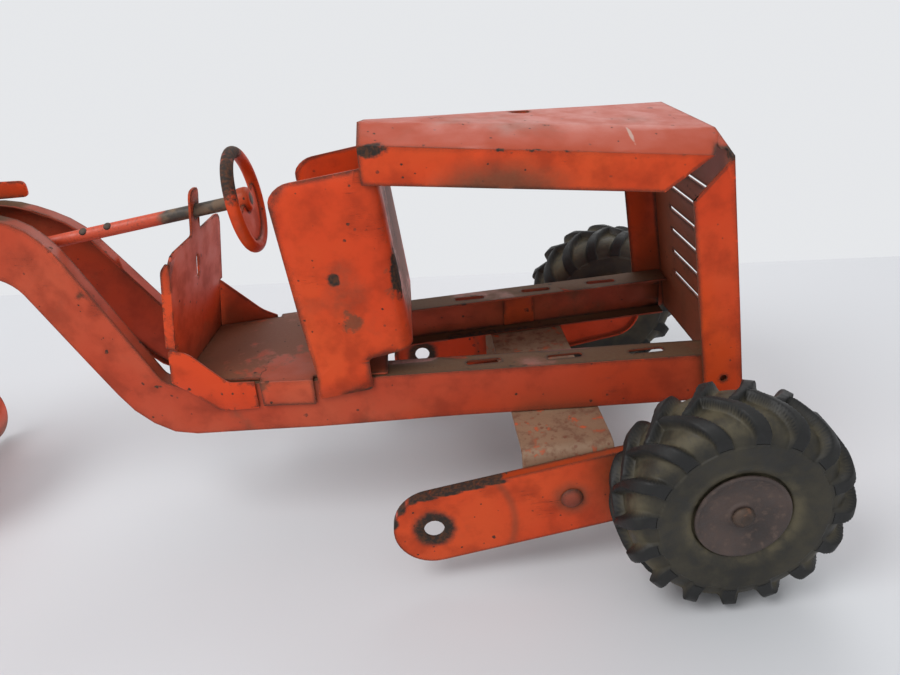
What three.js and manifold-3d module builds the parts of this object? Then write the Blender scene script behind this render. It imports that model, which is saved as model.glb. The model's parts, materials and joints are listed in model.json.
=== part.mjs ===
// A pressed-steel toy road grader, about 26 inches long: an arched twin-beam frame with a cab floor,
// a seat box, an engine hood with a louvred guard, two rear tandem beams, a steered front axle and
// a liftable, turnable blade. The front of the toy points along -X and its left side along -Y.
// Millimetres. Heights in this file are measured from the top of the rear rails, and X from the
// place where the rails turn up into the arch. The whole group is then moved so that the ground
// is at Z = 0 and the toy is centred over the origin.

import * as THREE from 'three';
import * as BufferGeometryUtils from 'three/addons/utils/BufferGeometryUtils.js';
import Module from 'manifold-3d';

const wasm = await Module();
wasm.setup();

// ---------- driving dimensions ----------

const SHEET = 1.1;               // thickness of the pressed sheet
const GAP = 0.3;                 // clearance between touching parts

const TYRE_RADIUS = 50;
const TYRE_HALF_WIDTH = 17;
const WHEEL_Z = -39;             // wheel centres below the rail tops
const WHEEL_Y = 102;             // wheel centre planes from the middle of the toy
const REAR_WHEEL_X = 240;
const FRONT_WHEEL_X = -328;

const RAIL_DEPTH = 24.6;
const RAIL_END_X = 261;
const ARCH_FRONT_X = -345;       // front ends of the arch beams
const ARCH_ANGLE = 60.5;         // steep stretch of the arch, in degrees
const ARCH_TOP = { x: -89, z: 38.3, outer: 50, inner: 20.5 };   // centre and radii of the upper bend
const ARCH_FALL = 10;            // fall of the arch towards the front, in degrees

const CAB_LEAN = 5.3;            // forward lean of the seat box, in degrees
const DASH_LEAN = 9;             // rearward lean of the dash, in degrees
const DASH_TURN = 6;             // the dash stands askew: its right end is further back
const GUARD_LEAN = 6;            // forward lean of the guard, in degrees
// The hood's front end hangs lower on the right, by its drop.
const HOOD_FRONT = { x: 97, half: 46, foot: 95, fold: 112, top: 118, flat: 26, drop: 8.5 };
const HOOD_REAR = { x: 252.5, half: 55, foot: 79, fold: 95.5, top: 103.5, flat: 35, drop: 0 };

const TANDEM_REACH = 64;                    // rivet to either axle
const TANDEM_TILT = 8.5;                    // nose-down tilt at rest, in degrees
const TILT = THREE.MathUtils.degToRad(TANDEM_TILT);
const PIVOT = {                             // tandem rivet
  x: REAR_WHEEL_X - TANDEM_REACH * Math.cos(TILT),
  z: WHEEL_Z - TANDEM_REACH * Math.sin(TILT),
};
const TANDEM_HEIGHT = 37;
const TANDEM_FACE_Y = 83.2;                 // outer face of the beam

const SHAFT_POINT = { x: 28, z: 79.7 };     // a point on the steering shaft's axis
const SHAFT_SLOPE = 7.4;                    // rise towards the rear, in degrees
const SHAFT_RADIUS = 3.2;
const SHAFT_FRONT_X = -352;
const WHEEL_HUB_X = 37;

const KING_Y = 66;                          // steering pins from the middle
const ARM_LENGTH = 36;                      // steering arms, pin to pin
const CRANK_REACH = 54;                     // steering shaft axis to the crank's finger

const DRAW_PIVOT = { x: -300, z: -11 };
const CIRCLE_X = -165;
const CIRCLE_Z = -20;
const BLADE_HALF = 82;
const BLADE_TOP = -47;
const BLADE_FOOT = -85;

const LEVER_PIVOT = { x: -125, z: 99 };
const LEVER_ARM = 40;
const LEVER_DROP = 18;                      // arms hang this many degrees below level at rest
const LINK_Y = 24;

const MODEL_SHIFT_X = -(REAR_WHEEL_X + FRONT_WHEEL_X) / 2;
const MODEL_SHIFT_Z = TYRE_RADIUS - WHEEL_Z;

// ---------- materials ----------

const finish = (color, roughness, metalness) =>
  new THREE.MeshStandardMaterial({ color, roughness, metalness, flatShading: true });

const paint = finish(0xc8441f, 0.45, 0.1);
const primer = finish(0x8f6a55, 0.8, 0.3);
const steel = finish(0x6b6258, 0.55, 0.8);
const hubSteel = finish(0x6a4a45, 0.7, 0.5);
const rubber = finish(0x2b2b2a, 0.85, 0.0);

// ---------- shape helpers ----------

const rad = THREE.MathUtils.degToRad;
const lerp = THREE.MathUtils.lerp;

// One closed body with merged corners, no flat-out slivers, and its faces pointing out.
function closed(geometry) {
  const bare = geometry.clone();
  bare.deleteAttribute('normal');
  bare.deleteAttribute('uv');
  const merged = BufferGeometryUtils.mergeVertices(bare, 1e-4);
  const place = merged.attributes.position;
  const source = merged.index.array;
  const kept = [];
  let volume = 0;
  const corner = [new THREE.Vector3(), new THREE.Vector3(), new THREE.Vector3()];
  for (let i = 0; i < source.length; i += 3) {
    const [a, b, c] = [source[i], source[i + 1], source[i + 2]];
    if (a === b || b === c || c === a) continue;
    kept.push(a, b, c);
    corner[0].fromBufferAttribute(place, a);
    corner[1].fromBufferAttribute(place, b);
    corner[2].fromBufferAttribute(place, c);
    volume += corner[0].dot(corner[1].cross(corner[2]));
  }
  if (volume < 0) kept.reverse();
  merged.setIndex(kept);
  return merged;
}

function toSolid(geometry) {
  const body = closed(geometry);
  return new wasm.Manifold(new wasm.Mesh({
    numProp: 3,
    vertProperties: new Float32Array(body.attributes.position.array),
    triVerts: new Uint32Array(body.index.array),
  }));
}

function toGeometry(solid) {
  const mesh = solid.getMesh();
  const geometry = new THREE.BufferGeometry();
  geometry.setAttribute('position', new THREE.BufferAttribute(mesh.vertProperties, 3));
  geometry.setIndex(new THREE.BufferAttribute(mesh.triVerts, 1));
  return geometry;
}

const join = (first, ...others) =>
  toGeometry(others.reduce((sum, next) => sum.add(toSolid(next)), toSolid(first)));

const cut = (body, ...tools) =>
  toGeometry(tools.reduce((rest, tool) => rest.subtract(toSolid(tool)), toSolid(body)));

const common = (first, second) => toGeometry(toSolid(first).intersect(toSolid(second)));

// An outline from corners [u, v] or [u, v, setback]; a setback rounds the corner off.
function outline(corners) {
  const shape = new THREE.Shape();
  corners.forEach(([u, v, setback = 0], i) => {
    const here = new THREE.Vector2(u, v);
    const towards = (k) => {
      const other = corners[(k + corners.length) % corners.length];
      return new THREE.Vector2(other[0], other[1]).sub(here).setLength(setback).add(here);
    };
    const start = setback ? towards(i - 1) : here;
    if (i === 0) shape.moveTo(start.x, start.y);
    else shape.lineTo(start.x, start.y);
    if (setback) {
      const end = towards(i + 1);
      shape.quadraticCurveTo(u, v, end.x, end.y);
    }
  });
  return shape;
}

const extrude = (shape, depth, curveSegments = 3) =>
  new THREE.ExtrudeGeometry(shape, { depth, bevelEnabled: false, curveSegments });

// Outline in X and Z, from y to y + thickness.
const plateXZ = (shape, y, thickness, curveSegments) =>
  extrude(shape, thickness, curveSegments).rotateX(Math.PI / 2).translate(0, y + thickness, 0);

// Outline in Y and Z, from x to x + thickness.
const AXES_YZX = new THREE.Matrix4().makeBasis(
  new THREE.Vector3(0, 1, 0), new THREE.Vector3(0, 0, 1), new THREE.Vector3(1, 0, 0));
const plateYZ = (shape, x, thickness, curveSegments) =>
  extrude(shape, thickness, curveSegments).applyMatrix4(AXES_YZX).translate(x, 0, 0);

// Outline in X and Y, from z to z + thickness.
const plateXY = (shape, z, thickness, curveSegments) =>
  extrude(shape, thickness, curveSegments).translate(0, 0, z);

function box(x0, x1, y0, y1, z0, z1) {
  return new THREE.BoxGeometry(x1 - x0, y1 - y0, z1 - z0)
    .translate((x0 + x1) / 2, (y0 + y1) / 2, (z0 + z1) / 2);
}

function rod(from, to, radius, sides = 12) {
  const start = new THREE.Vector3(...from);
  const span = new THREE.Vector3(...to).sub(start);
  const turn = new THREE.Quaternion().setFromUnitVectors(
    new THREE.Vector3(0, 1, 0), span.clone().normalize());
  return new THREE.CylinderGeometry(radius, radius, span.length(), sides)
    .translate(0, span.length() / 2, 0).applyQuaternion(turn)
    .translate(start.x, start.y, start.z);
}

const disc = (x, z, radius, y0, y1, sides = 14) => rod([x, y0, z], [x, y1, z], radius, sides);
const post = (x, y, radius, z0, z1, sides = 12) => rod([x, y, z0], [x, y, z1], radius, sides);

// A profile of [radius, along] corners, turned about the Y axis through (x, z).
function turned(profile, x, z, sides = 40) {
  const points = [...profile, profile[0]].map(([radius, along]) => new THREE.Vector2(radius, along));
  return new THREE.LatheGeometry(points, sides).translate(x, 0, z);
}

// A body through matching rings of points; the flat pattern says how the two ends are filled.
function loft(rings, flat) {
  const corners = rings.flat().flatMap((point) => point);
  const count = flat.length;
  const faces = [];
  for (let r = 0; r + 1 < rings.length; r += 1) {
    for (let i = 0; i < count; i += 1) {
      const a = r * count + i;
      const b = r * count + ((i + 1) % count);
      faces.push(a, b, b + count, a, b + count, a + count);
    }
  }
  const cap = THREE.ShapeUtils.triangulateShape(flat.map(([u, v]) => new THREE.Vector2(u, v)), []);
  const last = (rings.length - 1) * count;
  const turning = THREE.ShapeUtils.isClockWise(flat.map(([u, v]) => new THREE.Vector2(u, v)));
  cap.forEach(([a, b, c]) => {
    faces.push(...(turning ? [a, b, c] : [a, c, b]));
    faces.push(...(turning ? [last + a, last + c, last + b] : [last + a, last + b, last + c]));
  });
  const geometry = new THREE.BufferGeometry();
  geometry.setAttribute('position', new THREE.Float32BufferAttribute(corners, 3));
  geometry.setIndex(faces);
  return geometry;
}

const mirrored = (geometry) => {
  const copy = closed(geometry);
  copy.scale(1, -1, 1);
  return closed(copy);
};

const leaned = (geometry, degrees, footZ) => {
  const shear = new THREE.Matrix4().set(
    1, 0, -Math.tan(rad(degrees)), footZ * Math.tan(rad(degrees)),
    0, 1, 0, 0,
    0, 0, 1, 0,
    0, 0, 0, 1);
  return closed(geometry).applyMatrix4(shear);
};

// Height of the steering shaft's axis.
const shaftZ = (x) => SHAFT_POINT.z + (x - SHAFT_POINT.x) * Math.tan(rad(SHAFT_SLOPE));

// ---------- the assembly ----------

const model = new THREE.Group();
model.position.set(MODEL_SHIFT_X, 0, MODEL_SHIFT_Z);

function add(name, geometry, material, parent = model) {
  const mesh = new THREE.Mesh(closed(geometry), material);
  mesh.name = name;
  parent.add(mesh);
}

// The same part on both sides: the geometry is made on the left, at -Y.
function addPair(stem, geometry, material) {
  add(`${stem}_left`, geometry, material);
  add(`${stem}_right`, mirrored(geometry), material);
}

// Outer face of the side frames: they run together towards the front.
function frameHalfWidth(x) {
  const stations = [[ARCH_FRONT_X, 14.5], [-64, 15], [-44, 21.5], [-10, 31], [60, 39.5], [RAIL_END_X, 53]];
  if (x <= stations[0][0]) return stations[0][1];
  for (let i = 1; i < stations.length; i += 1) {
    const [[x0, w0], [x1, w1]] = [stations[i - 1], stations[i]];
    if (x <= x1) return lerp(w0, w1, (x - x0) / (x1 - x0));
  }
  return stations.at(-1)[1];
}

// Matching points of the upper and lower edges, along the level rail and along the arch in front of it.
const LOWER_BEND = { x: -2.4, z: 12, inner: 12, outerX: 0.2, outerZ: 15.4, outer: 42.8 };

function railStations() {
  const deepest = LOWER_BEND.outer - LOWER_BEND.outerZ;
  const level = [[RAIL_END_X, RAIL_DEPTH], [200, RAIL_DEPTH], [130, RAIL_DEPTH], [60, 25.6], [25, 26.8]];
  const end = [[LOWER_BEND.x + GAP, 0], [LOWER_BEND.outerX + GAP, -deepest]];
  return [...level.map(([x, depth]) => [[x, 0], [x, -depth]]), end];
}

function archStations() {
  const { x, z, inner, outerX, outerZ, outer } = LOWER_BEND;
  const lowerBend = [0, 15, 30, 45, ARCH_ANGLE - 1].map((turn) => {
    const angle = rad(-90 - turn);
    const around = (middleX, middleZ, radius) => [
      middleX + radius * Math.cos(angle), middleZ + radius * Math.sin(angle)];
    return [around(x, z, inner), around(outerX, outerZ, outer)];
  });
  const upperBend = [];
  const steps = 8;
  for (let i = 0; i <= steps; i += 1) {
    const fall = rad(lerp(ARCH_ANGLE, -ARCH_FALL, i / steps));
    const around = (radius) => [
      ARCH_TOP.x + radius * Math.sin(fall), ARCH_TOP.z + radius * Math.cos(fall)];
    upperBend.push([around(ARCH_TOP.outer), around(ARCH_TOP.inner)]);
  }
  const [topEnd, footEnd] = upperBend.at(-1);
  const slide = (point, atX) => [atX, point[1] - (point[0] - atX) * Math.tan(rad(ARCH_FALL))];
  const front = [-170, -250, ARCH_FRONT_X].map((atX) => [slide(topEnd, atX), slide(footEnd, atX)]);
  return [...lowerBend, ...upperBend, ...front];
}

const RAIL_SLOTS = [136, 175, 214];

// A pressed channel along the stations, open towards the middle of the toy.
function channel(stations) {
  const flangeAt = (x) => lerp(8, 15, THREE.MathUtils.clamp((x + 5) / 40, 0, 1));
  const lipAt = (x) => lerp(4, 10, THREE.MathUtils.clamp((x + 5) / 60, 0, 1));
  const section = (top, foot) => {
    const depth = Math.hypot(top[0] - foot[0], top[1] - foot[1]);
    const flange = flangeAt(top[0]);
    const lip = lipAt(foot[0]);
    return [[0, 0], [depth, 0], [depth, flange], [depth - SHEET, flange], [depth - SHEET, SHEET],
      [SHEET, SHEET], [SHEET, lip], [0, lip]];
  };
  const rings = stations.map(([top, foot]) => {
    const profile = section(top, foot);
    const depth = profile[1][0];
    return profile.map(([up, inward]) => {
      const x = lerp(foot[0], top[0], up / depth);
      const z = lerp(foot[1], top[1], up / depth);
      return [x, -(frameHalfWidth(x) - inward), z];
    });
  });
  return loft(rings, section([0, 0], [0, -RAIL_DEPTH]));
}

function sideRail() {
  const slots = RAIL_SLOTS.map((x) => {
    const y = -(frameHalfWidth(x + 8) - 8);
    const slot = outline([[x, y - 2, 2], [x + 17, y - 2, 2], [x + 17, y + 2, 2], [x, y + 2, 2]]);
    return plateXY(slot, -3, 5, 3);
  });
  return cut(channel(railStations()), ...slots);
}

const YOKE_BOLT = { x: -330, z: 24.5, radius: 1.6 };

function archBeam() {
  return cut(channel(archStations()),
    disc(YOKE_BOLT.x, YOKE_BOLT.z, YOKE_BOLT.radius + GAP, -20, -12, 12));
}

function cabFloor() {
  const pan = outline([[-2, -30], [98, -40.9], [98, 40.9], [-2, 30]]);
  const strip = (side) => {
    const x0 = 36.5;
    const x1 = 62.4;
    const face = (x) => frameHalfWidth(x) + GAP;
    const edge = (x, inset) => side * (face(x) + inset);
    const flat = [[x0, edge(x0, -4)], [x1, edge(x1, -4)], [x1, edge(x1, SHEET)], [x0, edge(x0, SHEET)]];
    const apron = [[x0, edge(x0, 0)], [x1, edge(x1, 0)], [x1, edge(x1, SHEET)], [x0, edge(x0, SHEET)]];
    return [plateXY(outline(flat), GAP, SHEET), plateXY(outline(apron), -12, 12 + GAP + SHEET)];
  };
  return join(plateXY(pan, GAP, SHEET), ...strip(-1), ...strip(1));
}

// The gusset lies against the side frame's outer face, which it follows in plan.
function sideGusset(corners) {
  const turn = Math.atan2(frameHalfWidth(34) - frameHalfWidth(-6), 40);
  const x0 = -6;
  return plateXZ(outline(corners.map(([x, z, r]) => [x - x0, z, r])), -SHEET, SHEET)
    .rotateZ(-turn).translate(x0, -(frameHalfWidth(x0) + GAP), 0);
}

// The dash stands on the cab floor; the lower part is narrower, to pass between the gussets.
function dashPanel() {
  const base = 2 * GAP + SHEET;
  const half = 34.5;
  const foot = 30.2;
  const tongue = 5.4;
  const height = 66.5;
  const tongueTop = 88.6;
  const leftStep = 20;
  const rightStep = 27.6;
  const panel = outline([[-foot, 0], [foot, 0], [foot, rightStep], [half, rightStep],
    [half, height, 7], [tongue, height, 2], [tongue, tongueTop, 4], [-tongue, tongueTop, 4],
    [-tongue, height, 2], [-half, height, 7], [-half, leftStep], [-foot, leftStep]]);
  const edging = (y, z) => plateXZ(outline([[-3.4, z], [0.5, z], [0.5, height - 3.6],
    [-1.2, height - 3.6], [-3.4, height - 7, 2]]), y, SHEET);
  const shaftHole = rod([-20, 0, shaftZ(-20)], [30, 0, shaftZ(30)], SHAFT_RADIUS + 0.5, 16);
  const slot = plateYZ(outline([[-1.6, 43, 1.6], [1.6, 43, 1.6], [1.6, 55, 1.6], [-1.6, 55, 1.6]]), -2, 6);
  const sheet = cut(join(plateYZ(panel, 0, SHEET), edging(-half, leftStep),
    edging(half - SHEET, rightStep)), slot);
  return cut(sheet.rotateY(rad(DASH_LEAN)).rotateZ(rad(-DASH_TURN)).translate(-0.4, 0, base), shaftHole);
}

// Left, rear and right walls of the seat box in one bent sheet.
function seatShell() {
  const front = 52;
  const rear = 113;
  const outer = [[front, -40.6], [rear, -44.9, 9], [rear, 44.9, 9], [front, 40.6]];
  const inner = [[front - 1, -40.6 + SHEET], [rear - SHEET, -44.9 + SHEET, 8],
    [rear - SHEET, 44.9 - SHEET, 8], [front - 1, 40.6 - SHEET]];
  const wall = cut(plateXY(outline(outer), -12, 120, 6), plateXY(outline(inner), -13, 122, 6));
  const stood = leaned(wall, CAB_LEAN, 0);
  const profile = (drop) => outline([[64.2, -9.2, 2], [90.7, -5.3, 2], [90.3, 10.8, 2], [118, 16.5],
    [118, 103.5 - drop], [97.5, 101.8 - drop], [62.1, 97.3 - drop, 4], [55.6, 91.5 - drop, 4],
    [61, 34.7], [65, 2.7]]);
  const keep = join(plateXZ(profile(0), -60, 61), plateXZ(profile(8), 0, 60));
  return common(stood, keep);
}

function seatPan() {
  const seat = outline([[64.9, 8], [62.5, 42, 3], [97, 44.5, 3], [94.6, 80], [95.7, 80],
    [98.2, 43.4, 4], [63.7, 40.9, 2], [66, 8]]);
  return plateXZ(seat, -38.6, 77.2);
}

// A section of the hood: the outer skin from left to right, then the inner skin back again.
function hoodSection({ half, foot, fold, top, flat, drop }) {
  const inset = SHEET;
  const level = [[-half, foot], [-half, fold], [-flat, top], [flat, top], [half, fold], [half, foot],
    [half - inset, foot], [half - inset, fold - inset * 0.8], [flat - inset * 0.2, top - inset],
    [-flat + inset * 0.2, top - inset], [-half + inset, fold - inset * 0.8], [-half + inset, foot]];
  return level.map(([y, z]) => [y, z - (y > 0 ? drop : 0)]);
}

function hoodAndGuard() {
  const ring = (end) => hoodSection(end).map(([y, z]) => [end.x, y, z]);
  const skin = loft([ring(HOOD_FRONT), ring(HOOD_REAR)], hoodSection(HOOD_REAR));
  // The hood's sides stop along a slanted line, a little ahead of the guard's slanted shoulders.
  const mitre = plateXZ(outline([[195, 60], [252, 101.2], [262, 101.2], [262, 60]]), -70, 140);
  const { half, fold, top, flat } = HOOD_REAR;
  const wallShape = outline([[-half, -25], [half, -25], [half, fold], [flat, top], [-flat, top], [-half, fold]]);
  const louvres = [];
  for (let i = 0; i < 6; i += 1) {
    const z = 7 + 13 * i;
    louvres.push(plateYZ(outline([[-30, z, 1], [30, z, 1], [30, z + 2, 1], [-30, z + 2, 1]]), 250, 30));
  }
  const leanAt = 96;
  const rearWall = leaned(plateYZ(wallShape, HOOD_REAR.x, SHEET), GUARD_LEAN, leanAt);
  const shoulder = outline([[235, -25, 2], [HOOD_REAR.x + 0.6, -25], [HOOD_REAR.x + 0.6, 94.5], [235, 77]]);
  const flange = (y) => leaned(plateXZ(shoulder, y, SHEET), GUARD_LEAN, leanAt);
  const rearEdge = leaned(plateXZ(outline([[HOOD_REAR.x - 60, 50], [HOOD_REAR.x + SHEET, 50],
    [HOOD_REAR.x + SHEET, 130], [HOOD_REAR.x - 60, 130]]), -70, 140), GUARD_LEAN, leanAt);
  const trimmed = cut(skin, mitre);
  const reach = loft([ring({ ...HOOD_REAR, x: HOOD_REAR.x - 3 }), ring({ ...HOOD_REAR, x: HOOD_REAR.x + 2 })],
    hoodSection(HOOD_REAR));
  const corner = common(reach, rearEdge);
  const roofOnly = cut(corner, plateXZ(outline([[240, 60], [240, 97.5], [262, 97.5], [262, 60]]), -70, 140));
  const stackHole = post(172, 3, 5.5, 90, 130, 18);
  const shell = join(trimmed, roofOnly, rearWall, flange(-half), flange(half - SHEET));
  const rivets = [-1, 1].map((side) => disc(256, -12, 1.7, side * (half - 4), side * (half + 4), 12));
  return cut(shell, ...louvres, ...rivets, stackHole);
}

function tandemHanger() {
  const half = 78;
  const foot = -62;
  const arch = outline([[-half, foot], [-half, -25, 4.5], [half, -25, 4.5], [half, foot],
    [half - 1.4, foot], [half - 1.4, -26.4, 3.2], [-half + 1.4, -26.4, 3.2], [-half + 1.4, foot]]);
  const strap = plateYZ(arch, PIVOT.x - 21, 42);
  const hole = (side) => disc(PIVOT.x, PIVOT.z, 3.2 + GAP, side * 70, side * 85, 20);
  return cut(strap, hole(-1), hole(1));
}

// One tandem beam, drawn level about its rivet, with a hole at each end; the left one.
function tandemBeam() {
  const end = TANDEM_HEIGHT / 2;
  const rounded = (radius) => {
    const shape = new THREE.Shape();
    shape.absarc(-TANDEM_REACH, 0, radius, Math.PI / 2, (3 * Math.PI) / 2, false);
    shape.absarc(TANDEM_REACH, 0, radius, -Math.PI / 2, Math.PI / 2, false);
    return shape;
  };
  const blank = plateXZ(rounded(end), -TANDEM_FACE_Y, 4.6, 10);
  const pocket = plateXZ(rounded(end - 1.4), -TANDEM_FACE_Y + 1.4, 5, 10);
  const hole = (x, radius) => disc(x, 0, radius, -90, -70, 20);
  const beam = cut(blank, pocket, hole(-TANDEM_REACH, 4.7), hole(0, 3.2 + GAP),
    hole(TANDEM_REACH, 2.4 + GAP));
  return beam.rotateY(-TILT).translate(PIVOT.x, 0, PIVOT.z);
}

function tandemRivet() {
  const profile = [[0, -85.4], [2.6, -85.3], [4.6, -84.4], [5.3, -TANDEM_FACE_Y - GAP],
    [3.2, -TANDEM_FACE_Y - GAP], [3.2, -76.6 + GAP], [5, -76.6 + GAP], [5, -75], [0, -75]];
  return turned(profile, PIVOT.x, PIVOT.z, 16);
}

// A tyre about its own centre, with a raised ring on each sidewall.
const TYRE_PROFILE = [[16.8, -12.6], [20.6, -14], [35.4, -TYRE_HALF_WIDTH], [46, -15.4],
  [TYRE_RADIUS, -9], [TYRE_RADIUS, 9], [46, 15.4], [35.4, TYRE_HALF_WIDTH], [20.6, 14], [16.8, 12.6]];

// Two pressed discs joined by a hollow drum that carries the tyre.
const AXLE_RADIUS = 2.4;
const BORE = AXLE_RADIUS + GAP;
const RIM_PROFILE = [[BORE, -14], [14, -13.4], [20.3, -15.4], [20.3, -14.1], [16.3, -13],
  [16.3, 13], [20.3, 14.1], [20.3, 15.4], [14, 13.4], [BORE, 14], [BORE, 12.9], [15.1, 12],
  [15.1, -12], [BORE, -12.9]];

function addWheel(stem, x, z, y) {
  const place = (profile, sides) => turned(profile, x, z, sides).translate(0, y, 0);
  add(`${stem}_tyre`, place(TYRE_PROFILE, 28), rubber);
  add(`${stem}_rim`, place(RIM_PROFILE, 20), hubSteel);
}

// The end of an axle: the wheel turns between a collar and a domed head.
const AXLE_END = [[4.4, -WHEEL_Y + 14.5], [AXLE_RADIUS, -WHEEL_Y + 14.5],
  [AXLE_RADIUS, -WHEEL_Y - 14.4], [4.8, -WHEEL_Y - 14.4], [4, -WHEEL_Y - 16.4], [0, -WHEEL_Y - 17.2]];

function rearAxle() {
  const web = TANDEM_FACE_Y - 1.4;
  return turned([[0, -78.9], [4.4, -78.9], [4.4, -web + GAP], [AXLE_RADIUS, -web + GAP],
    [AXLE_RADIUS, -TANDEM_FACE_Y - GAP], [4.4, -TANDEM_FACE_Y - GAP], ...AXLE_END],
  REAR_WHEEL_X, WHEEL_Z, 14);
}

// A plain tab that ties the hanger to the inside of the side frame.
function hangerTab() {
  const x0 = PIVOT.x - 12;
  const turn = Math.atan2(frameHalfWidth(x0 + 18) - frameHalfWidth(x0), 18);
  return box(0, 18, 0, 1.2, -23.1, -2).rotateZ(-turn)
    .translate(x0, -frameHalfWidth(x0) + SHEET + GAP, 0);
}

// ---------- front axle and steering ----------

const YOKE = { front: -341, rear: -315, half: 9.4 };

function frontYoke() {
  const { front, rear, half } = YOKE;
  const neck = box(-337, -323, -half, half, -7, 29);
  const bridge = box(front, rear, -half, half, -10, -6);
  const frontCheek = box(front, front + 3, -half, half, -50, -7);
  const rearCheek = box(rear - 3, rear, -half, half, -50, -7);
  const ear = (y) => plateXZ(outline([[rear - 1, -18], [-295, -18, 5], [-295, -4.5, 5], [rear - 1, -4.5]]), y, 2);
  const axlePin = rod([front - 2, 0, WHEEL_Z], [rear + 2, 0, WHEEL_Z], 2.8 + GAP, 20);
  return cut(join(neck, bridge, frontCheek, rearCheek, ear(-5.6), ear(3.6)), axlePin,
    disc(YOKE_BOLT.x, YOKE_BOLT.z, YOKE_BOLT.radius + GAP, -12, 12, 16), disc(DRAW_PIVOT.x, DRAW_PIVOT.z, 2 + GAP, -8, 8, 16));
}

// A pin with a domed head at each end, turned about an axis along Y.
function headedPin(x, z, reach, radius, head, sides = 12) {
  return turned([[0, -reach - 1.8], [head - 0.8, -reach - 1.5], [head, -reach], [radius, -reach],
    [radius, reach], [head, reach], [head - 0.8, reach + 1.5], [0, reach + 1.8]], x, z, sides);
}

function axlePin() {
  const half = (YOKE.rear - YOKE.front) / 2;
  return headedPin(0, 0, half + GAP, 2.8, 4.6).rotateZ(-Math.PI / 2)
    .translate((YOKE.rear + YOKE.front) / 2, 0, WHEEL_Z);
}

function frontAxle() {
  const bar = box(FRONT_WHEEL_X - 5.5, FRONT_WHEEL_X + 5.5, -59, 59, WHEEL_Z - 4, WHEEL_Z + 4);
  const hub = rod([-337.4, 0, WHEEL_Z], [-318.6, 0, WHEEL_Z], 7, 20);
  const tongue = (side) => plateXY(outline([[FRONT_WHEEL_X - 4.6, side * 58], [FRONT_WHEEL_X + 4.6, side * 58],
    [FRONT_WHEEL_X + 4.6, side * 69.4, 4.2], [FRONT_WHEEL_X - 4.6, side * 69.4, 4.2]]), WHEEL_Z - 2, 4, 5);
  const kingHole = (side) => post(FRONT_WHEEL_X, side * KING_Y, 2 + GAP, WHEEL_Z - 9, WHEEL_Z + 9);
  return cut(join(bar, hub, tongue(-1), tongue(1)), kingHole(-1), kingHole(1),
    rod([-345, 0, WHEEL_Z], [-310, 0, WHEEL_Z], 2.8 + GAP, 20));
}

// The left knuckle: a clevis round the axle's tongue, the stub axle and the steering arm.
function knuckle() {
  const x = FRONT_WHEEL_X;
  const cheek = (z) => box(x - 5, x + 5, -73.4, -61.3, z, z + 2);
  const back = box(x - 5, x + 5, -73.4, -71, WHEEL_Z - 4.6, WHEEL_Z + 4.6);
  const arm = plateXY(outline([[x + 3, -KING_Y - 4], [x + 3, -KING_Y + 4],
    [x - ARM_LENGTH - 4, -KING_Y + 4, 3], [x - ARM_LENGTH - 4, -KING_Y - 4, 3]]), WHEEL_Z + 2.6, 2);
  const armPin = post(x - ARM_LENGTH, -KING_Y, 2, WHEEL_Z + 4, WHEEL_Z + 9.6);
  const stub = turned([[0, -72], [4.4, -72], ...AXLE_END], x, WHEEL_Z, 14);
  const hole = post(x, -KING_Y, 2 + GAP, WHEEL_Z - 9, WHEEL_Z + 9);
  return join(cut(join(cheek(WHEEL_Z - 4.6), cheek(WHEEL_Z + 2.6), back, arm), hole), armPin, stub);
}

function kingPin() {
  return headedPin(0, 0, 4.6 + GAP, 2, 3.4).rotateX(Math.PI / 2)
    .translate(FRONT_WHEEL_X, -KING_Y, WHEEL_Z);
}

function tieRod() {
  const x = FRONT_WHEEL_X - ARM_LENGTH;
  const z = WHEEL_Z + 5;
  const strip = box(x - 3, x + 3, -62, 62, z, z + 2);
  const end = (side) => plateXY(outline([[x - 5.6, side * 60], [x + 8.4, side * 60],
    [x + 8.4, side * 71.6, 3], [x - 5.6, side * 71.6, 3]]), z, 2);
  const slot = (side) => plateXY(outline([[x - 2.8, side * (KING_Y - 2.6), 1], [x + 5.4, side * (KING_Y - 2.6), 1],
    [x + 5.4, side * (KING_Y + 2.6), 1], [x - 2.8, side * (KING_Y + 2.6), 1]]), z - 1, 4);
  const tab = (y) => box(x - 3, x + 3, y, y + 2, z, z + 17);
  return cut(join(strip, end(-1), end(1), tab(-7), tab(5)), slot(-1), slot(1));
}

function steeringShaft() {
  return rod([SHAFT_FRONT_X, 0, shaftZ(SHAFT_FRONT_X)], [WHEEL_HUB_X + 3, 0, shaftZ(WHEEL_HUB_X + 3)],
    SHAFT_RADIUS, 16);
}

function steeringCrank() {
  const x = -350.5;
  const fingerZ = shaftZ(x) - CRANK_REACH;
  const strap = plateYZ(outline([[-4.5, fingerZ - 4, 3], [4.5, fingerZ - 4, 3], [6, shaftZ(x) + 6, 4],
    [-6, shaftZ(x) + 6, 4]]), x - 1.2, 2.4);
  const finger = rod([x, 0, fingerZ], [FRONT_WHEEL_X - ARM_LENGTH - 4, 0, fingerZ], 2, 12);
  const bore = rod([x - 6, 0, shaftZ(x - 6)], [x + 6, 0, shaftZ(x + 6)], SHAFT_RADIUS + GAP, 16);
  return cut(join(strap, finger), bore);
}

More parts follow.
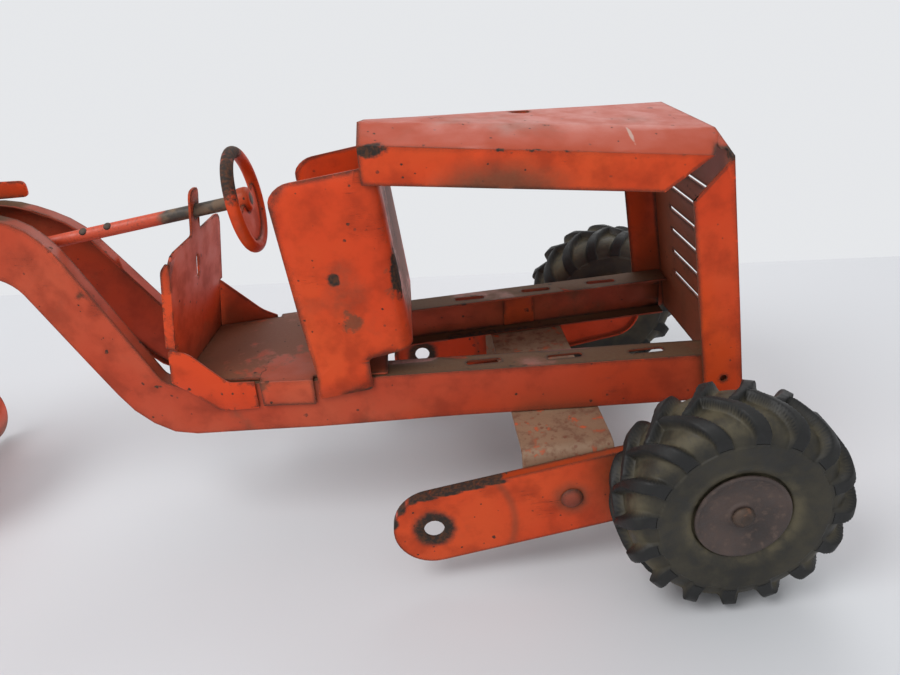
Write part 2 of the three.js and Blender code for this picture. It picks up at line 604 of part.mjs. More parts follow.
function steeringWheel() {
  const major = 23.2;
  const tube = 3;
  const ring = new THREE.TorusGeometry(major, tube, 8, 28);
  const hub = new THREE.CylinderGeometry(5.6, 6.4, 6, 18).rotateX(Math.PI / 2);
  const disk = new THREE.CylinderGeometry(major, major, 1.6, 28).rotateX(Math.PI / 2);
  const web = cut(disk, box(-30, 0, -30, 30, -2, 2));
  const bore = new THREE.CylinderGeometry(SHAFT_RADIUS + GAP, SHAFT_RADIUS + GAP, 20, 16).rotateX(Math.PI / 2);
  return cut(join(ring, hub, web), bore).rotateY(rad(90 - SHAFT_SLOPE))
    .translate(WHEEL_HUB_X, 0, shaftZ(WHEEL_HUB_X));
}

// ---------- drawbar, circle and blade ----------

const DRAWBAR_TOP = DRAW_PIVOT.z + 1.2;
const LINK_X = LEVER_PIVOT.x - LEVER_ARM * Math.cos(rad(LEVER_DROP));
const LINK_TOP_Z = LEVER_PIVOT.z - LEVER_ARM * Math.sin(rad(LEVER_DROP));

function drawbar() {
  const plate = outline([[DRAW_PIVOT.x + 3, -3.2], [-293, -3.2], [-284, -7, 3], [-172, -18],
    [-172, 18], [-284, 7, 3], [-293, 3.2], [DRAW_PIVOT.x + 3, 3.2]]);
  const table = post(CIRCLE_X, 0, 22, DRAWBAR_TOP - 2.4, DRAWBAR_TOP, 36);
  const eye = disc(DRAW_PIVOT.x, DRAW_PIVOT.z, 5.4, -3.2, 3.2, 20);
  const crossbar = box(LINK_X - 4, LINK_X + 4, -24.4, 24.4, DRAWBAR_TOP - 2.4, DRAWBAR_TOP);
  const linkPin = (side) => disc(LINK_X, DRAW_PIVOT.z, 1.8, side * 20, side * 29, 14);
  return cut(join(plateXY(plate, DRAWBAR_TOP - 2.4, 2.4), table, eye, crossbar,
    linkPin(-1), linkPin(1)),
    disc(DRAW_PIVOT.x, DRAW_PIVOT.z, 2 + GAP, -8, 8, 16),
    post(CIRCLE_X, 0, 3 + GAP, -20, 0, 18));
}

function circlePlate() {
  const plate = post(CIRCLE_X, 0, 40, CIRCLE_Z - 4, CIRCLE_Z - 2, 32);
  const collar = post(CIRCLE_X, 0, 9, CIRCLE_Z - 3, DRAWBAR_TOP - 2.4 - GAP, 24);
  const holes = [];
  for (let i = 0; i < 6; i += 1) {
    const angle = (i * Math.PI) / 3 + Math.PI / 6;
    holes.push(post(CIRCLE_X + 22 * Math.cos(angle), 22 * Math.sin(angle), 4, -30, -18, 10));
  }
  return cut(join(plate, collar), post(CIRCLE_X, 0, 3 + GAP, -30, -5, 18), ...holes);
}

function circlePivot() {
  const reach = (DRAWBAR_TOP - (CIRCLE_Z - 4)) / 2 + GAP;
  return headedPin(0, 0, reach, 3, 5.6, 18).rotateX(Math.PI / 2)
    .translate(CIRCLE_X, 0, (DRAWBAR_TOP + CIRCLE_Z - 4) / 2);
}

const BLADE_ARC = { x: -191, z: (BLADE_TOP + BLADE_FOOT) / 2, radius: 28, thickness: 1.6 };

function moldboard() {
  const { x, z, radius, thickness } = BLADE_ARC;
  const sweep = Math.asin((BLADE_TOP - BLADE_FOOT) / 2 / radius);
  const shape = new THREE.Shape();
  shape.absarc(x, z, radius + thickness, -sweep, sweep, false);
  shape.absarc(x, z, radius, sweep, -sweep, true);
  return plateXZ(shape, -BLADE_HALF, 2 * BLADE_HALF, 10);
}

function bladeArm() {
  const { x, z, radius, thickness } = BLADE_ARC;
  const top = CIRCLE_Z - 4 - GAP;
  const side = plateXZ(outline([[-184, top], [-146, top], [-146, top - 8, 4], [-155, -72, 4],
    [-166, -72], [-170, -42, 5], [-184, top - 6, 3]]), -31, 1.6);
  const foot = box(-184, -146, -31, -23, top - 1.4, top);
  return cut(join(side, foot), disc(x, z, radius + thickness + GAP, -40, -20, 36));
}

function liftSaddle() {
  const fall = Math.tan(rad(ARCH_FALL));
  const level = ARCH_TOP.z + ARCH_TOP.outer + 0.4;
  const beamTop = (x) => level - Math.max(0, -97 - x) * fall;
  const ear = (y) => plateXZ(outline([[-70, level, 2.5], [-70, level + 8, 3], [-112, level + 9.5, 6],
    [-117, 109, 6], [-133, 109, 6], [-150, beamTop(-150) + 6, 3], [-150, beamTop(-150), 2], [-97, level]]),
  y, 1.2, 4);
  const base = plateXZ(outline([[-148, beamTop(-148)], [-100, beamTop(-100)], [-100, beamTop(-100) + 1.2],
    [-148, beamTop(-148) + 1.2]]), -14, 28);
  return cut(join(ear(-14.6), ear(13.4), base), disc(LEVER_PIVOT.x, LEVER_PIVOT.z, 2.5 + GAP, -20, 20, 16));
}

function liftShaft() {
  return disc(LEVER_PIVOT.x, LEVER_PIVOT.z, 2.5, -25.6, 25.6, 16);
}

// The left arm of the lift: it hangs a little below level and carries the link's pin.
function liftArm() {
  const shape = outline([[7, -5.5, 4], [7, 5.5, 4], [-LEVER_ARM - 5, 4.5, 4], [-LEVER_ARM - 5, -4.5, 4]]);
  const arm = plateXZ(shape, -LINK_Y - 0.4, 2, 4);
  const pin = disc(-LEVER_ARM, 0, 1.6, -LINK_Y - 4.4, -LINK_Y + 0.6, 14);
  const bore = disc(0, 0, 2.5 + GAP, -30, -20, 16);
  return cut(join(arm, pin), bore).rotateY(rad(-LEVER_DROP)).translate(LEVER_PIVOT.x, 0, LEVER_PIVOT.z);
}

function liftLink() {
  const foot = DRAW_PIVOT.z;
  const shape = outline([[LINK_X - 4, LINK_TOP_Z + 5, 4], [LINK_X + 4, LINK_TOP_Z + 5, 4],
    [LINK_X + 4, foot + 14, 4], [LINK_X + 8, foot + 5, 4], [LINK_X + 8, foot - 5.5, 4],
    [LINK_X - 8, foot - 5.5, 4], [LINK_X - 8, foot + 5, 4], [LINK_X - 4, foot + 14, 4]]);
  const slot = outline([[LINK_X - 4.6, foot - 2.5, 2], [LINK_X + 4.6, foot - 2.5, 2],
    [LINK_X + 4.6, foot + 2.5, 2], [LINK_X - 4.6, foot + 2.5, 2]]);
  return cut(plateXZ(shape, -LINK_Y - 2.6, 1.6, 4), plateXZ(slot, -LINK_Y - 5, 8, 3),
    disc(LINK_X, LINK_TOP_Z, 1.6 + GAP, -35, -20, 14));
}

function liftHandle() {
  const shape = outline([[-5.5, -5.5, 4], [5.5, -5.5, 4], [10, 42, 3], [3, 43, 3]]);
  const bore = disc(0, 0, 2.5 + GAP, 10, 40, 16);
  return cut(plateXZ(shape, 17.5, 2.2, 4), bore).translate(LEVER_PIVOT.x, 0, LEVER_PIVOT.z);
}

function liftKnob() {
  const profile = [[0, -1], [3.4, -1], [5.2, 1.8], [6, 5], [5.2, 8.2], [3, 10.4], [0, 11]];
  return new THREE.LatheGeometry(profile.map(([u, v]) => new THREE.Vector2(u, v)), 16)
    .rotateX(Math.PI / 2).rotateY(rad(9)).translate(LEVER_PIVOT.x + 6.7, 18.6, LEVER_PIVOT.z + 44.6);
}

// ---------- frame, cab and hood ----------

addPair('side_rail', sideRail(), paint);
addPair('arch_beam', archBeam(), paint);
add('cab_floor', cabFloor(), paint);
add('left_gusset', sideGusset([[-6, 2.3, 1], [2, -2.6, 3], [15, -14, 3], [34.5, -13], [34.5, 1.4],
  [21.5, 1.4, 3], [5, 18, 3], [-4, 20.5, 2]]), paint);
add('right_gusset', mirrored(sideGusset([[-6, 2.3, 1], [2, -2.6, 3], [15, -14, 3], [34.5, -13],
  [34.5, 1.4], [27, 6, 3], [7, 28, 2], [-4, 28, 2]])), paint);
add('dash_panel', dashPanel(), paint);
add('seat_shell', seatShell(), paint);
add('seat_pan', seatPan(), paint);
add('hood_and_guard', hoodAndGuard(), paint);

// ---------- tandem drive ----------

add('tandem_hanger', tandemHanger(), primer);
addPair('tandem_beam', tandemBeam(), paint);
addPair('tandem_rivet', tandemRivet(), steel);
addPair('hanger_tab', hangerTab(), primer);
addPair('rear_axle', rearAxle(), steel);
addWheel('rear_left', REAR_WHEEL_X, WHEEL_Z, -WHEEL_Y);
addWheel('rear_right', REAR_WHEEL_X, WHEEL_Z, WHEEL_Y);

// ---------- front end ----------

add('front_yoke', frontYoke(), paint);
add('yoke_bolt', headedPin(YOKE_BOLT.x, YOKE_BOLT.z, 14.7 + GAP, YOKE_BOLT.radius, 3.2), steel);
add('axle_pin', axlePin(), steel);
add('front_axle', frontAxle(), paint);
addPair('knuckle', knuckle(), steel);
addPair('king_pin', kingPin(), steel);
add('tie_rod', tieRod(), steel);
add('steering_shaft', steeringShaft(), paint);
add('steering_crank', steeringCrank(), steel);
add('steering_wheel', steeringWheel(), paint);
addWheel('front_left', FRONT_WHEEL_X, WHEEL_Z, -WHEEL_Y);
addWheel('front_right', FRONT_WHEEL_X, WHEEL_Z, WHEEL_Y);

// ---------- blade and lift ----------

add('drawbar', drawbar(), paint);
add('drawbar_pin', headedPin(DRAW_PIVOT.x, DRAW_PIVOT.z, 5.6 + GAP, 2, 3.4), steel);
add('circle', circlePlate(), paint);
add('circle_pivot', circlePivot(), steel);
addPair('blade_arm', bladeArm(), paint);
add('moldboard', moldboard(), paint);
add('lift_saddle', liftSaddle(), paint);
add('lift_shaft', liftShaft(), steel);
addPair('lift_arm', liftArm(), paint);
addPair('lift_link', liftLink(), steel);
add('lift_handle', liftHandle(), paint);
add('lift_knob', liftKnob(), rubber);

export default model;
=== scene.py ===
import json
import math

import bmesh
import bpy
from mathutils import Matrix, Vector, noise

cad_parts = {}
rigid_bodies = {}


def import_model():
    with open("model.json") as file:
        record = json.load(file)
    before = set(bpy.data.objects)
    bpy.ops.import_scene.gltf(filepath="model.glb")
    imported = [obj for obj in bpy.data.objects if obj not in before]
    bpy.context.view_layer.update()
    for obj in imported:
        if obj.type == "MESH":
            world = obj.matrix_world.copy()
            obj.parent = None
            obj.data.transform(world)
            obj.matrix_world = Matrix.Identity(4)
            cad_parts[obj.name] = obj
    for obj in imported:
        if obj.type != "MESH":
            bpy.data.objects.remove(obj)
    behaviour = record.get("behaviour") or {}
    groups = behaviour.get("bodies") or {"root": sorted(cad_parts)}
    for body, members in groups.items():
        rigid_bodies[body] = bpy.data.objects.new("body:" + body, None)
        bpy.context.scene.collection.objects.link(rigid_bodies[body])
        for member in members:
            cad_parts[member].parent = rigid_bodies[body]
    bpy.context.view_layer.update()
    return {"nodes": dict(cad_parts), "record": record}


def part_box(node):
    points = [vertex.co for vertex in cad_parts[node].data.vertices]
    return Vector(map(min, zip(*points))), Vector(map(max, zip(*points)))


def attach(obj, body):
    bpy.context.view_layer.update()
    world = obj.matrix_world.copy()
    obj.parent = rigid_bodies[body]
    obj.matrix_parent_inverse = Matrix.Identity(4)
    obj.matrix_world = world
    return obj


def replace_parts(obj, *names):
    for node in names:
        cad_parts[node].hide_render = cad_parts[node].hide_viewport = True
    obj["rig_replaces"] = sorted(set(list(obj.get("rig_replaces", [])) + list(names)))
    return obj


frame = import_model()

MM = 0.001
SHEET = 1.1 * MM                 # thickness of the pressed sheet
BEHAVIOUR = frame["record"]["behaviour"]
BODY_OF = {node: body for body, nodes in BEHAVIOUR["bodies"].items() for node in nodes}
SLOT_OF = {part["node"]: part["material_slot"] for part in frame["record"]["subparts"]}


def centre(node):
    low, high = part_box(node)
    return (low + high) / 2


# The middle of each wheel, and the tyre's own sizes, come from the frame.
WHEELS = {name: centre(name + "_tyre")
          for name in ("rear_left", "rear_right", "front_left", "front_right")}
TYRE_LOW, TYRE_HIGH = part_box("rear_left_tyre")
TYRE_RADIUS = (TYRE_HIGH.z - TYRE_LOW.z) / 2
TYRE_HALF_WIDTH = (TYRE_HIGH.y - TYRE_LOW.y) / 2


# ---------- camera and light ----------

# The camera was fitted to corners and edges of the real toy.
SENSOR_WIDTH = 36                # mm
LENS = 29.06                     # mm
SHIFT_UP = -0.075                # share of the sensor's width
CAMERA_PLACE = (0.16423, -0.34463, 0.26453)
YAW, PITCH, ROLL = (math.radians(a) for a in (-2.152, 22.321, 4.687))

SKY_COLOUR = (0.94, 0.955, 0.98, 1)
SKY_STRENGTH = 0.84
LIT_PLACE = Vector((0.1, 0, 0.1))        # what both lamps point at


def add_camera():
    data = bpy.data.cameras.new("camera")
    data.sensor_width = SENSOR_WIDTH
    data.lens = LENS
    data.shift_y = SHIFT_UP
    data.clip_start = 10 * MM
    camera = bpy.data.objects.new("camera", data)
    bpy.context.scene.collection.objects.link(camera)
    upright = Matrix.Rotation(YAW, 3, "Z") @ Matrix.Rotation(math.pi / 2 - PITCH, 3, "X")
    turned = upright @ Matrix.Rotation(-ROLL, 3, "Z")
    camera.matrix_world = Matrix.Translation(CAMERA_PLACE) @ turned.to_4x4()
    bpy.context.scene.camera = camera


def add_area_light(name, place, size, power):
    data = bpy.data.lights.new(name, "AREA")
    data.shape = "DISK"
    data.size = size
    data.energy = power
    light = bpy.data.objects.new(name, data)
    bpy.context.scene.collection.objects.link(light)
    light.location = place
    light.rotation_euler = (LIT_PLACE - Vector(place)).to_track_quat("-Z", "Y").to_euler()


def add_world():
    world = bpy.data.worlds.new("studio")
    world.use_nodes = True
    background = world.node_tree.nodes["Background"]
    background.inputs["Color"].default_value = SKY_COLOUR
    background.inputs["Strength"].default_value = SKY_STRENGTH
    bpy.context.scene.world = world
    bpy.context.scene.view_settings.view_transform = "Standard"


# ---------- material building blocks ----------

class Tree:
    """A material's nodes: each call adds one node and returns the output to use."""

    def __init__(self, name):
        self.material = bpy.data.materials.new(name)
        self.material.use_nodes = True
        self.nodes = self.material.node_tree.nodes
        self.links = self.material.node_tree.links
        self.shader = self.nodes["Principled BSDF"]
        self.place = self.nodes.new("ShaderNodeTexCoord").outputs["Object"]
        self.normal = self.nodes.new("ShaderNodeNewGeometry").outputs["Normal"]

    def wire(self, value, socket):
        if hasattr(value, "is_output"):
            self.links.new(value, socket)
        elif hasattr(value, "__len__") and len(value) == 3 and socket.type == "RGBA":
            socket.default_value = (*value, 1)
        else:
            socket.default_value = value

    def noise(self, scale, detail=4.0, roughness=0.55, stretch=(1, 1, 1), turn=(0, 0, 0)):
        mapping = self.nodes.new("ShaderNodeMapping")
        mapping.inputs["Scale"].default_value = stretch
        mapping.inputs["Rotation"].default_value = turn
        self.wire(self.place, mapping.inputs["Vector"])
        node = self.nodes.new("ShaderNodeTexNoise")
        node.inputs["Scale"].default_value = scale
        node.inputs["Detail"].default_value = detail
        node.inputs["Roughness"].default_value = roughness
        self.wire(mapping.outputs["Vector"], node.inputs["Vector"])
        return node.outputs["Fac"]

    def math(self, kind, a, b=0.0):
        node = self.nodes.new("ShaderNodeMath")
        node.operation = kind
        self.wire(a, node.inputs[0])
        self.wire(b, node.inputs[1])
        return node.outputs[0]

    def vector(self, kind, a, b=None, output="Vector"):
        node = self.nodes.new("ShaderNodeVectorMath")
        node.operation = kind
        self.wire(a, node.inputs[0])
        if b is not None:
            self.wire(b, node.inputs[1])
        return node.outputs[output]

    def also(self, mask, more, strength):
        """The mask, raised to another mask times its strength where that is higher."""
        return self.math("MAXIMUM", mask, self.math("MULTIPLY", more, strength))

    def ease(self, value, low, high, to_low=0.0, to_high=1.0):
        """The value goes smoothly from to_low to to_high between low and high."""
        node = self.nodes.new("ShaderNodeMapRange")
        node.interpolation_type = "SMOOTHSTEP"
        self.wire(value, node.inputs["Value"])
        limits = {"From Min": low, "From Max": high, "To Min": to_low, "To Max": to_high}
        for socket, number in limits.items():
            node.inputs[socket].default_value = number
        return node.outputs["Result"]

    def mix(self, amount, a, b):
        node = self.nodes.new("ShaderNodeMix")
        node.data_type = "RGBA"
        self.wire(amount, node.inputs[0])
        self.wire(a, node.inputs[6])
        self.wire(b, node.inputs[7])
        return node.outputs[2]

    def spots(self, scale, share, size):
        """Small round marks: a share of the cells of a random mosaic holds one."""
        node = self.nodes.new("ShaderNodeTexVoronoi")
        node.inputs["Scale"].default_value = scale
        self.wire(self.place, node.inputs["Vector"])
        split = self.nodes.new("ShaderNodeSeparateColor")
        self.wire(node.outputs["Color"], split.inputs[0])
        chosen = self.math("GREATER_THAN", split.outputs[0], 1 - share)
        radius = self.math("MULTIPLY", split.outputs[1], size)
        ragged = self.math("MULTIPLY", self.noise(scale * 4, 2), 0.3)
        edge = self.math("SUBTRACT", self.math("ADD", node.outputs["Distance"], ragged), 0.15)
        return self.math("MULTIPLY", chosen, self.math("LESS_THAN", edge, radius))

    def edges(self, reach):
        """1 on sharp edges, falling to 0 within reach of them."""
        bevel = self.nodes.new("ShaderNodeBevel")
        bevel.samples = 6
        bevel.inputs["Radius"].default_value = reach
        alike = self.vector("DOT_PRODUCT", bevel.outputs["Normal"], self.normal, "Value")
        return self.ease(alike, 0.80, 0.9995, 1.0, 0.0)

    def facing(self, direction, low, high):
        """0 on faces turned away from a direction, 1 on faces turned to it."""
        return self.ease(self.vector("DOT_PRODUCT", self.normal, direction, "Value"), low, high)

    def painted_shade(self, reach):
        """Painted shade: 1 in corners and behind sheets that lie within reach, 0 on open faces."""
        node = self.nodes.new("ShaderNodeAmbientOcclusion")
        node.samples = 5
        node.inputs["Distance"].default_value = reach
        return self.ease(node.outputs["AO"], 0.30, 0.85, 1.0, 0.0)

    def distance(self, where, stretch=(1, 1, 1)):
        """The distance to a place, each direction counted with its own stretch."""
        scaled = self.vector("MULTIPLY", self.vector("SUBTRACT", self.place, where), stretch)
        return self.vector("LENGTH", scaled, output="Value")

    def off_line(self, start, end):
        """The distance to the straight line through two places."""
        offset = self.vector("SUBTRACT", self.place, start)
        square = self.vector("CROSS_PRODUCT", offset, (end - start).normalized())
        return self.vector("LENGTH", square, output="Value")

    def blot(self, where, radii, ragged=0.9, scale=190, inside=0.72, outside=1.12):
        """1 inside an uneven patch about a place, 0 outside it."""
        stretch = [1 / max(r, 1e-6) for r in radii]
        level = self.math("SUBTRACT", self.noise(scale, 6, 0.7), 0.5)
        uneven = self.math("MULTIPLY", level, ragged * 2)
        reach = self.math("ADD", self.distance(where, stretch), uneven)
        return self.ease(reach, inside, outside, 1.0, 0.0)

    def bump(self, height, distance, strength=1.0):
        node = self.nodes.new("ShaderNodeBump")
        node.inputs["Strength"].default_value = strength
        node.inputs["Distance"].default_value = distance
        self.wire(height, node.inputs["Height"])
        self.wire(node.outputs["Normal"], self.shader.inputs["Normal"])

    def finish(self, colour, roughness):
        self.wire(colour, self.shader.inputs["Base Color"])
        self.wire(roughness, self.shader.inputs["Roughness"])
        return self.material


# ---------- materials ----------

ORANGE = (0.600, 0.050, 0.008)
PALE = (0.42, 0.31, 0.25)        # dry, light scratches
# the rust and grime colours below also colour the painted shade in the enamel's corners and on faces
# turned forward
RUST_AND_SHADE = (0.085, 0.034, 0.017)
CHIP = (0.030, 0.021, 0.017)
GRIME_AND_SHADE = (0.105, 0.070, 0.036)
UP = (0, 0, 1)
FORWARD = (-1, 0, 0)


def scaled(colour, *factors):
    """A colour times one factor, or times one factor for each channel."""
    return tuple(c * s for c, s in zip(colour, factors * 3 if len(factors) == 1 else factors))


def within(node, along, across, up):
    """A place given by fractions of a node's box."""
    low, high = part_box(node)
    return Vector(low[i] + (high[i] - low[i]) * part for i, part in enumerate((along, across, up)))


def enamel(name, paint=ORANGE, grime=0.35, worn=0.45, settle=0.06, front_shade=0.0,
           bare_marks=(), brown_marks=(), soft_marks=(), pale_marks=(), arcs=(), folds=()):
    """Old sprayed enamel: uneven colour, chipped edges, specks, scratches, settled dirt, and painted
    shade in corners and on faces turned forward.
    """
    t = Tree(name)

    # the paint itself, uneven, and darker where it faces up
    broad, middle, fine = t.noise(16, 3), t.noise(75, 5), t.noise(620, 4)
    faded = t.mix(t.ease(broad, 0.35, 0.70), paint, scaled(paint, 1.06, 1.45, 1.7))
    mottled = t.mix(t.ease(middle, 0.42, 0.72, 0.0, 0.55), faded, scaled(paint, 0.48))
    upper = t.math("MULTIPLY", t.facing(UP, 0.20, 0.85), 0.88)
    darker_on_top = t.mix(upper, mottled, scaled(paint, 0.55, 0.80, 1.0))

    # dirt in patches, on flat tops and in the marks asked for; painted shade in corners, behind sheets
    # and on faces turned forward
    painted_shade = t.painted_shade(32 * MM)
    flat_top = t.math("MULTIPLY", t.facing(UP, 0.88, 0.995), settle)
    settled_and_shaded = t.math("ADD", flat_top, t.math("MULTIPLY", painted_shade, 0.16))
    patches = t.ease(t.math("ADD", t.noise(26, 6, 0.62), settled_and_shaded), 0.56, 0.80)
    stain_and_shade = t.math("MULTIPLY", patches, min(1.0, grime * 1.6))
    stain_and_shade = t.also(stain_and_shade, painted_shade, 0.70)
    # painted shade: faces turned forward are darkened with the dirt colour
    if front_shade:
        ahead = t.math("MULTIPLY", t.facing(FORWARD, 0.6, 0.9), front_shade)
        stain_and_shade = t.also(stain_and_shade, ahead, t.ease(broad, 0.2, 0.6, 0.8, 1.0))
    for where, radii in soft_marks:
        soft = t.blot(where, radii, ragged=0.30, scale=60, inside=0.30, outside=1.15)
        stain_and_shade = t.also(stain_and_shade, soft, 0.80)
    for where, radii in brown_marks:
        stain_and_shade = t.also(stain_and_shade, t.blot(where, radii, ragged=1.3, scale=120), 0.72)
    for where, radius, half in arcs:
        off = t.math("ABSOLUTE", t.math("SUBTRACT", t.distance(where, (1, 0, 1)), radius))
        stain_and_shade = t.also(stain_and_shade, t.ease(off, 0.0, half, 1.0, 0.0), 0.38)
    dirt_and_shade = t.mix(stain_and_shade, darker_on_top, t.mix(fine, GRIME_AND_SHADE, RUST_AND_SHADE))

    # bare metal: chipped edges and folds, specks, scratches and the marks asked for
    rough = t.math("MULTIPLY", t.noise(230, 5, 0.7), 0.9)
    flakes = t.math("ADD", t.math("MULTIPLY", middle, 0.9), rough)
    edge = t.edges(3.4 * MM)
    for start, end in folds:
        edge = t.math("MAXIMUM", edge, t.ease(t.off_line(start, end), 0.0, 5.5 * MM, 0.74, 0.0))
    rough_edge = t.math("ADD", t.math("MULTIPLY", edge, 1.25), flakes)
    rough_edge = t.math("ADD", rough_edge, t.math("MULTIPLY", fine, 0.30))
    chipped = t.ease(rough_edge, 2.66 - worn, 2.73 - worn)
    speck = t.math("MAXIMUM", t.spots(130, 0.16, 0.21), t.spots(390, 0.10, 0.30))
    speck = t.math("MULTIPLY", speck, t.ease(t.noise(300, 3), 0.35, 0.55, 0.35, 0.95))
    scratch_noise = t.noise(42, 2, 0.5, stretch=(1, 1, 26), turn=(0.4, 0.9, 0.3))
    line = t.math("LESS_THAN", t.math("ABSOLUTE", t.math("SUBTRACT", scratch_noise, 0.5)), 0.003)
    scratched = t.math("MULTIPLY", line, t.ease(t.noise(38, 2), 0.62, 0.68))
    bare = t.math("MAXIMUM", chipped, t.math("MAXIMUM", speck, scratched))
    for where, radii, *ragged in bare_marks:
        bare = t.math("MAXIMUM", bare, t.blot(where, radii, *ragged))
    colour = t.mix(bare, dirt_and_shade, t.mix(t.ease(fine, 0.4, 0.65), CHIP, RUST_AND_SHADE))
    for where, radii in pale_marks:
        colour = t.mix(t.math("MULTIPLY", t.blot(where, radii, 0.5), 0.75), colour, PALE)

    smooth = t.ease(middle, 0.3, 0.7, 0.36, 0.56)
    roughness = t.also(smooth, t.math("MAXIMUM", bare, stain_and_shade), 0.78)
    relief = t.math("SUBTRACT", t.math("MULTIPLY", fine, 0.25), t.math("MULTIPLY", bare, 0.8))
    t.bump(relief, 0.12 * MM, 0.8)
    t.shader.inputs["Specular IOR Level"].default_value = 0.24
    return t.finish(colour, roughness)


def bare_primer():
    """Dull tan-brown metal with specks of orange and rust."""
    t = Tree("worn_primer")
    middle, fine = t.noise(230, 6, 0.65), t.noise(700, 4)
    base = t.mix(t.ease(t.noise(30, 4), 0.3, 0.7), (0.190, 0.112, 0.066), (0.260, 0.156, 0.094))
    rusty = t.mix(t.ease(middle, 0.47, 0.66, 0.0, 0.85), base, (0.150, 0.062, 0.034))
    rusty = t.mix(t.math("MULTIPLY", t.spots(330, 0.50, 0.34), 0.75), rusty, (0.155, 0.050, 0.026))
    flecks, clouds = t.ease(t.noise(230, 5, 0.7), 0.54, 0.60), t.ease(t.noise(60, 2), 0.48, 0.62)
    orange = t.math("MULTIPLY", flecks, clouds)
    colour = t.mix(orange, rusty, (0.46, 0.085, 0.028))
    worn = t.mix(t.math("MULTIPLY", t.edges(1.0 * MM), t.ease(fine, 0.35, 0.6)), colour, CHIP)
    t.bump(t.math("ADD", middle, t.math("MULTIPLY", fine, 0.4)), 0.15 * MM)
    return t.finish(worn, t.ease(middle, 0.3, 0.7, 0.55, 0.85))


def rusty_metal(name, light, dark, metal=0.0, fleck=(0.20, 0.10, 0.06)):
    """Rusted or darkened metal, with lighter rubbed edges."""
    t = Tree(name)
    broad, middle, fine = t.noise(60, 4), t.noise(240, 6, 0.68), t.noise(1100, 3)
    base = t.mix(t.ease(broad, 0.3, 0.7), dark, light)
    speckled = t.mix(t.ease(middle, 0.50, 0.72, 0.0, 0.8), base, fleck)
    edge = t.math("MULTIPLY", t.edges(0.8 * MM), t.ease(fine, 0.4, 0.6, 0.0, 0.6))
    rubbed = t.mix(edge, speckled, scaled(light, 2.4))
    t.shader.inputs["Metallic"].default_value = metal
    t.bump(t.math("ADD", middle, t.math("MULTIPLY", fine, 0.5)), 0.12 * MM)
    return t.finish(rubbed, t.ease(middle, 0.3, 0.7, 0.48, 0.80))


def old_rubber():
    """Black tyre rubber with olive dust in the hollows and rubbed lug tops."""
    t = Tree("tyre_rubber")
    broad, middle, fine = t.noise(34, 4), t.noise(130, 5, 0.6), t.noise(900, 3)
    black = t.mix(broad, (0.007, 0.007, 0.007), (0.014, 0.014, 0.013))
    dust = t.nodes.new("ShaderNodeAttribute")
    dust.attribute_name = "hollow"
    uneven = t.ease(t.math("ADD", broad, middle), 0.75, 1.25, 0.25, 1.0)
    amount = t.math("MULTIPLY", dust.outputs["Fac"], uneven)
    dusty = t.mix(amount, black, t.mix(middle, (0.060, 0.050, 0.028), (0.140, 0.116, 0.066)))
    film = t.mix(t.ease(middle, 0.50, 0.75, 0.0, 0.26), dusty, (0.042, 0.042, 0.036))
    t.bump(t.math("ADD", middle, t.math("MULTIPLY", fine, 0.5)), 0.14 * MM, 0.7)
    t.shader.inputs["Specular IOR Level"].default_value = 0.35
    return t.finish(film, t.ease(middle, 0.3, 0.7, 0.46, 0.72))


BARE_SHAFT = 36 * MM             # length without paint at the steering wheel's end
PAINT_FADES = 5 * MM


def shaft_finish():
    """The steering shaft: painted towards the front, bare and dark towards the wheel."""
    t = Tree("steering_shaft_finish")
    split = t.nodes.new("ShaderNodeSeparateXYZ")
    t.wire(t.place, split.inputs[0])
    middle, fine = t.noise(160, 5), t.noise(800, 3)
    along = t.math("ADD", split.outputs[0], t.math("MULTIPLY", middle, 12 * MM))
    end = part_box("steering_shaft")[1].x
    bare = t.ease(along, end - BARE_SHAFT - PAINT_FADES, end - BARE_SHAFT)
    painted = t.mix(t.ease(fine, 0.5, 0.7, 0, 0.5), (0.52, 0.060, 0.018), (0.16, 0.035, 0.018))
    metal = t.mix(t.ease(middle, 0.4, 0.65), (0.040, 0.032, 0.024), (0.150, 0.095, 0.055))
    t.bump(t.math("ADD", middle, t.math("MULTIPLY", fine, 0.5)), 0.15 * MM)
    return t.finish(t.mix(bare, painted, metal), t.ease(middle, 0.3, 0.7, 0.40, 0.65))


def floor_finish():
    t = Tree("floor_finish")
    cloud = t.noise(3, 2)
    return t.finish(t.mix(cloud, (0.585, 0.592, 0.610), (0.615, 0.622, 0.640)), 0.55)


MATERIALS = {
    "orange_paint": enamel("orange_paint"),
    "worn_primer": bare_primer(),
    "rusty_steel": rusty_metal("rusty_steel", (0.085, 0.055, 0.040), (0.035, 0.026, 0.022), metal=0.35),
    "rusty_hub": rusty_metal("rusty_hub", (0.072, 0.047, 0.039), (0.034, 0.024, 0.021),
                             fleck=(0.115, 0.078, 0.062)),
    "tyre_rubber": old_rubber(),
    "black_knob": rusty_metal("black_knob", (0.020, 0.020, 0.020), (0.012, 0.012, 0.012),
                              fleck=(0.03, 0.03, 0.03)),
}
